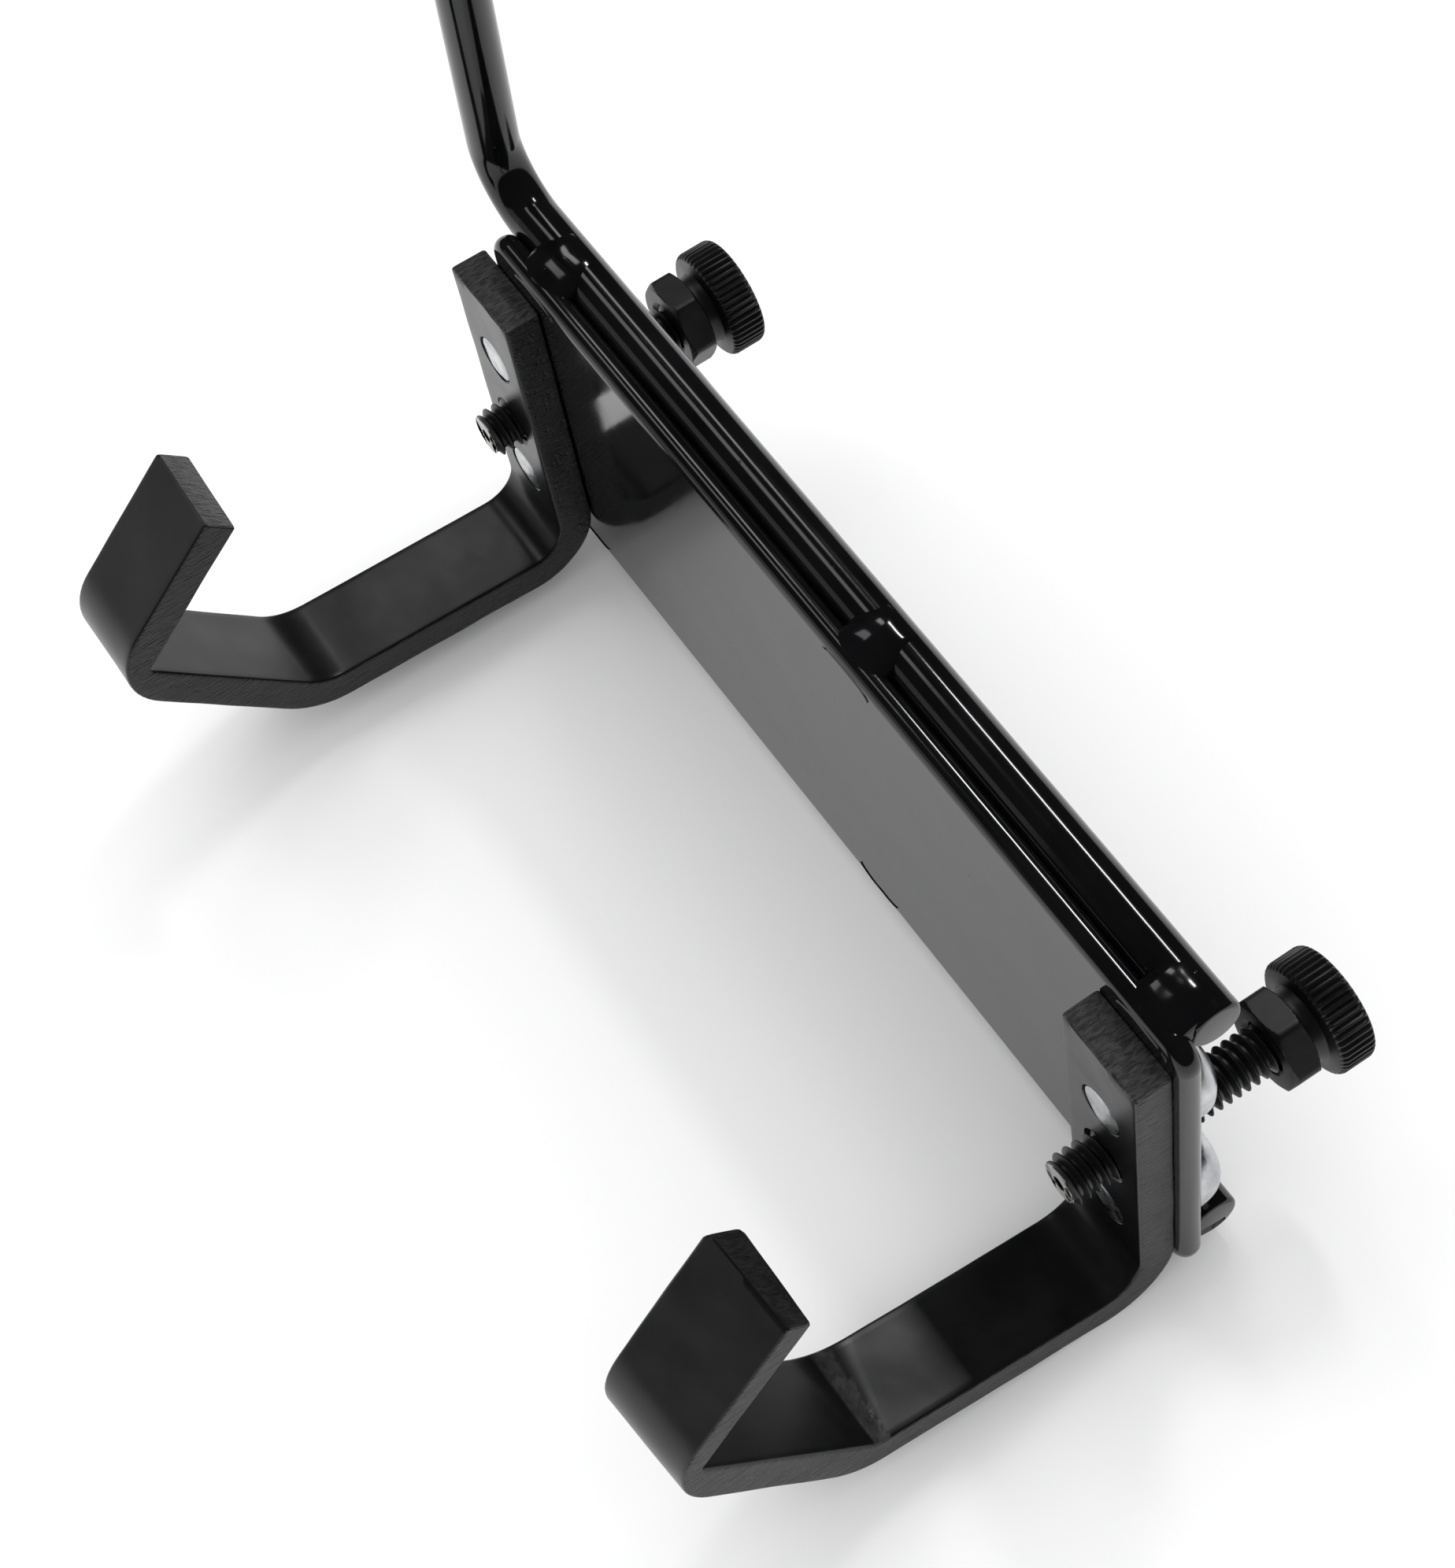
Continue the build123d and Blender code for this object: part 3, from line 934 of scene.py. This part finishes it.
def stud_piece(side, material):
    """Fully threaded stud: a true right-hand helix cut square and chamfered at both ends."""
    node = side + "_clamp_stud"
    low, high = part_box(node)
    centre_x, centre_z = axis_of(node)
    bm = bmesh.new()
    join_helix(bm, helix_rows(bm, centre_x, centre_z, (high.x - low.x) / 2, low.y, high.y))
    for end, outward in ((low.y, -1), (high.y, 1)):
        geometry = bm.verts[:] + bm.edges[:] + bm.faces[:]
        bmesh.ops.bisect_plane(bm, geom=geometry, plane_co=(0, end, 0),
                               plane_no=(0, outward, 0), clear_outer=True)
    rim = [edge for edge in bm.edges if edge.is_boundary]
    ends = bmesh.ops.holes_fill(bm, edges=rim, sides=0)["faces"]
    for thickness, depth in STUD_RECESS:
        bmesh.ops.inset_individual(bm, faces=ends, thickness=thickness, depth=depth)
    piece = finish_piece(bm, node + "_thread", material, side + "_stud",
                         [node], sharp_degrees=24)
    worn = piece.data.attributes.new("worn", "FLOAT", "POINT")
    for index, vertex in enumerate(piece.data.vertices):
        worn.data[index].value = WORN_TIP if vertex.co.y < low.y + TIP_SLACK else 0.0


def jam_nut_piece(side, material):
    """Thin hexagon nut with both faces chamfered."""
    node = side + "_jam_nut"
    low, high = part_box(node)
    front = low.y
    back = high.y
    centre_x, centre_z = axis_of(side + "_clamp_stud")
    bore = BORE_RADIUS + BORE_GAP
    apothem = JAM_NUT_ACROSS_FLATS / 2
    corner = apothem / math.cos(HEX_HALF_SECTOR)
    bevel = (corner - apothem) * NUT_BEVEL_SHARE

    def hexagon(radius, angle):
        sector = (angle - JAM_NUT_TURN[side]) % (2 * HEX_HALF_SECTOR) - HEX_HALF_SECTOR
        nearness = (abs(sector) / HEX_HALF_SECTOR) ** NUT_CORNER_TIGHTNESS
        softening = NUT_CORNER_SOFTENING * nearness
        return min(radius, apothem / math.cos(sector) - softening)

    bevels = []
    for step in range(NUT_BEVEL_STEPS + 1):
        share = step / NUT_BEVEL_STEPS
        start = apothem - NUT_BEVEL_INSET
        bevels.append((start + (corner - start) * share, NUT_BEVEL_LIFT + bevel * share))
    rows = [(bore, front + NUT_BORE_CHAMFER), (bore + NUT_BORE_CHAMFER, front),
            (apothem - NUT_FACE_INSET, front)]
    rows += [(radius, front + depth) for radius, depth in bevels]
    rows += [(corner, front + bevel + NUT_FLAT_SETBACK), (corner, back - bevel - NUT_FLAT_SETBACK)]
    rows += [(radius, back - depth) for radius, depth in bevels[::-1]]
    rows += [(apothem - NUT_FACE_INSET, back), (bore + NUT_BORE_CHAMFER, back),
             (bore, back - NUT_BORE_CHAMFER)]
    bm = bmesh.new()
    turned(bm, centre_x, centre_z, rows, NUT_STEPS, hexagon, JAM_NUT_TURN[side], loop=True)
    finish_piece(bm, node + "_hexagon", material, side + "_knob", [node],
                 sharp_degrees=20)


def thumb_nut_piece(side, material):
    """Thumb nut: straight knurled disc with a plain collar in front."""
    node = side + "_thumb_nut"
    low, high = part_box(node)
    front = low.y
    back = high.y
    centre_x, centre_z = axis_of(side + "_clamp_stud")
    radius = (high.x - low.x) / 2
    bore = BORE_RADIUS + BORE_GAP
    disc_front = front + COLLAR_LENGTH
    knurl_start = radius - KNURL_START

    def knurled(reach, angle):
        if reach < knurl_start:
            return reach
        tooth = 0.5 - 0.5 * math.cos(KNURL_TEETH * angle)
        share = min(1.0, (reach - knurl_start) / KNURL_RUN_IN)
        return reach - KNURL_DEPTH * share * tooth ** KNURL_SHARPNESS

    rows = [(bore, front + COLLAR_BORE_CHAMFER), (bore + COLLAR_BORE_CHAMFER, front),
            (COLLAR_RADIUS - COLLAR_CHAMFER, front), (COLLAR_RADIUS, front + COLLAR_CHAMFER)]
    rows += [(COLLAR_RADIUS + beyond, disc_front - ahead) for beyond, ahead in COLLAR_FILLET]
    rows += [(radius - inset, disc_front + depth) for inset, depth in KNOB_EDGE]
    rows += [(radius - inset, back - depth) for inset, depth in KNOB_EDGE[::-1]]
    rows += [(bore + KNOB_BORE_CHAMFER, back), (bore, back - KNOB_BORE_CHAMFER)]
    bm = bmesh.new()
    steps = KNURL_TEETH * KNURL_STEPS_PER_TOOTH
    turned(bm, centre_x, centre_z, rows, steps, knurled, loop=True)
    finish_piece(bm, node + "_knurled", material, side + "_knob", [node],
                 sharp_degrees=35)


# ---------------------------------------------------------------- build

def build_rods(material):
    """Straight lower rod, and the upper rod that bends up into the arm."""
    upper_low, upper_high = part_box("upper_rod")
    lower_low, lower_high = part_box("lower_rod")
    radius = (lower_high.z - lower_low.z) / 2
    rod_z = upper_low.z + radius
    arm_end_x = ARM_CORNER_X + (upper_high.z - rod_z) * math.tan(ARM_LEAN)
    rod_piece("upper_rod_bar", "upper_rod",
              [(upper_high.x, rod_z), (ARM_CORNER_X, rod_z), (arm_end_x, upper_high.z)],
              ARM_BEND_RADIUS, radius, material)
    lower_z = (lower_low.z + lower_high.z) / 2
    rod_piece("lower_rod_bar", "lower_rod",
              [(lower_high.x, lower_z), (lower_low.x, lower_z)], 0, radius, material)


def build_part():
    gloss = gloss_coat()
    satin = satin_coat()
    plated = zinc()
    oxide = black_oxide()
    keep_cad("mounting_plate", gloss)
    build_rods(gloss)
    welds = [(level, position) for level in LEVELS for position in WELD_POSITIONS]
    for seed, (level, position) in enumerate(welds, 1):
        weld_piece(level, position, gloss, seed)
    for number, side in enumerate(SIDES):
        hook_piece(side, satin)
        stud_piece(side, oxide)
        jam_nut_piece(side, oxide)
        thumb_nut_piece(side, oxide)
        for order, level in enumerate(LEVELS):
            rivet_piece(side, level, plated, 1 + 2 * number + order)


# ---------------------------------------------------------------- floor, light and camera

def make_floor():
    """Pale ground just under the part."""
    bm = bmesh.new()
    bmesh.ops.create_grid(bm, x_segments=2, y_segments=2, size=FLOOR_SIZE / 2)
    mesh = bpy.data.meshes.new("floor")
    bm.to_mesh(mesh)
    bm.free()
    floor = bpy.data.objects.new("floor", mesh)
    bpy.context.scene.collection.objects.link(floor)
    floor.location.z = cad_low.z - FLOOR_GAP
    finish = Finish("pale_floor", Roughness=0.9, Specular_IOR_Level=0.1)
    finish.colour(finish.noise(3), (0.88, 0.88, 0.88), (0.9, 0.9, 0.9))
    mesh.materials.append(finish.material)


def area_light(name, direction, distance, width, height, power, target):
    """Panel that faces its target, with its width along the rail."""
    data = bpy.data.lights.new(name, "AREA")
    data.shape = "RECTANGLE"
    data.size = width
    data.size_y = height
    data.energy = power
    light = bpy.data.objects.new(name, data)
    back = unit(Vector(direction))
    along = unit(Vector((1, 0, 0)) - back * back.x)
    turn = Matrix((along, back.cross(along), back)).transposed()
    light.matrix_world = Matrix.Translation(Vector(target) + back * distance) @ turn.to_4x4()
    light.visible_glossy = name not in UNSEEN_PANELS
    bpy.context.scene.collection.objects.link(light)


def make_world():
    """Pale surround for the floor and the eye, dim in reflections, as in a dark studio."""
    world = bpy.data.worlds.new("studio")
    bpy.context.scene.world = world
    world.use_nodes = True
    nodes = world.node_tree.nodes
    background = nodes["Background"]
    path = nodes.new("ShaderNodeLightPath")
    strength = nodes.new("ShaderNodeMapRange")
    strength.inputs["To Min"].default_value = SURROUND_STRENGTH
    strength.inputs["To Max"].default_value = REFLECTED_STRENGTH
    world.node_tree.links.new(path.outputs["Is Glossy Ray"], strength.inputs["Value"])
    world.node_tree.links.new(strength.outputs["Result"], background.inputs["Strength"])
    background.inputs["Color"].default_value = (1, 1, 1, 1)


def make_camera():
    data = bpy.data.cameras.new("camera")
    data.sensor_fit = "HORIZONTAL"
    data.sensor_width = CAMERA_SENSOR_WIDTH
    data.lens = CAMERA_LENS
    camera = bpy.data.objects.new("camera", data)
    turn = Matrix((CAMERA_RIGHT, CAMERA_UP, CAMERA_BACK)).transposed()
    camera.matrix_world = Matrix.Translation(CAMERA_PLACE) @ turn.to_4x4()
    bpy.context.scene.collection.objects.link(camera)
    bpy.context.scene.camera = camera


build_part()
make_floor()
make_world()
for panel_name, panel in PANELS.items():
    area_light(panel_name, *panel)
make_camera()
bpy.context.scene.view_settings.view_transform = "Standard"
